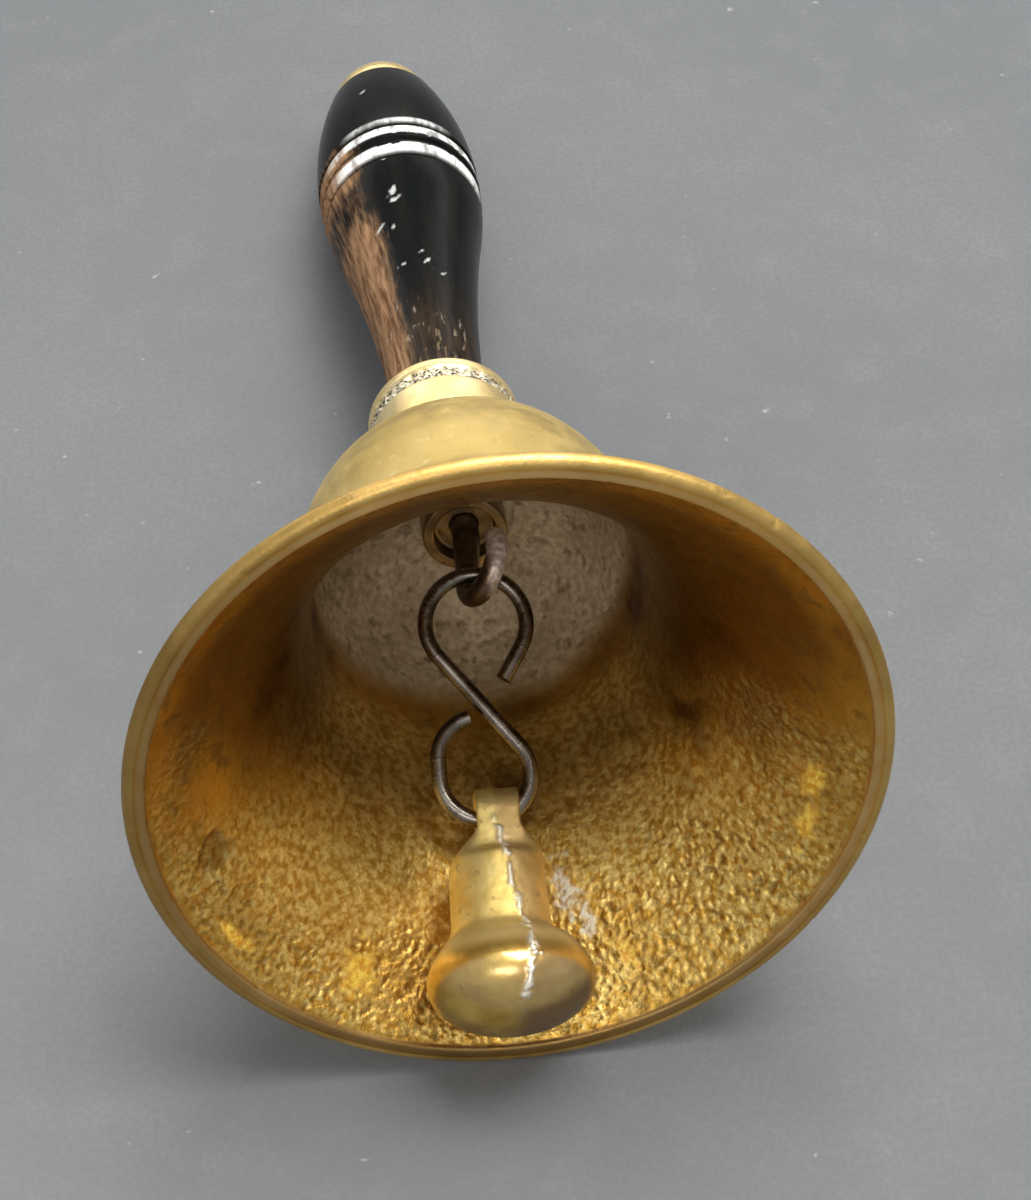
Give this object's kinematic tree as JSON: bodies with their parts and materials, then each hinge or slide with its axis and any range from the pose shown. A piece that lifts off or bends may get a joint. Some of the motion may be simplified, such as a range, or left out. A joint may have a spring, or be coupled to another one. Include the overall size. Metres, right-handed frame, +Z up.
{
  "type": "hand bell",
  "caption": "Hand bell lying on its side: flared cast bell, ringed ferrule, turned waisted wooden handle with a domed end nut, and a clapper hung from the rod's eye on an S-hook.",
  "frame": {"origin": "middle of the bounding box in X and Y, on the table plane Z = 0 that the lip and the handle's belly touch", "axes": "+Z up from the table; +Y from the mouth towards the handle's end, in plan; +X to the right when looking along +Y; the bell's axis lies in the YZ plane and slopes 11.8 degrees down towards the handle"},
  "size_m": [0.1, 0.2154, 0.0978],
  "materials": {
    "bell_brass": "satin, tarnished, cast texture inside",
    "collar_brass": "dull, tarnished",
    "rod_metal": "dark, oxidised",
    "plain_steel": "dull, plain",
    "fitting_brass": "bright, rubbed",
    "ebonised_wood": "glossy black, worn to brown",
    "hook_steel": "dark, slightly glossy",
    "clapper_brass": "satin, as cast, polished head"
  },
  "bodies": {
    "bell": {"bell_shell": "bell_brass", "cup_collar": "collar_brass", "clapper_rod": "rod_metal", "crown_washer": "plain_steel", "crown_nut": "plain_steel", "ferrule": "fitting_brass", "handle_grip": "ebonised_wood", "finial_nut": "fitting_brass"},
    "hook": {"s_hook": "hook_steel"},
    "clapper": {"clapper": "clapper_brass"}
  },
  "joints": [
    {"name": "hook_swing", "type": "hinge", "parent": "bell", "child": "hook", "pos_m": [0.0006, -0.04711, 0.04118], "axis": [-1, 0, 0], "range_deg": [0, 60]},
    {"name": "clapper_swing", "type": "hinge", "parent": "hook", "child": "clapper", "pos_m": [-0.00062, -0.07796, 0.0247], "axis": [-1, 0, 0], "range_deg": [0, 20]}
  ]
}
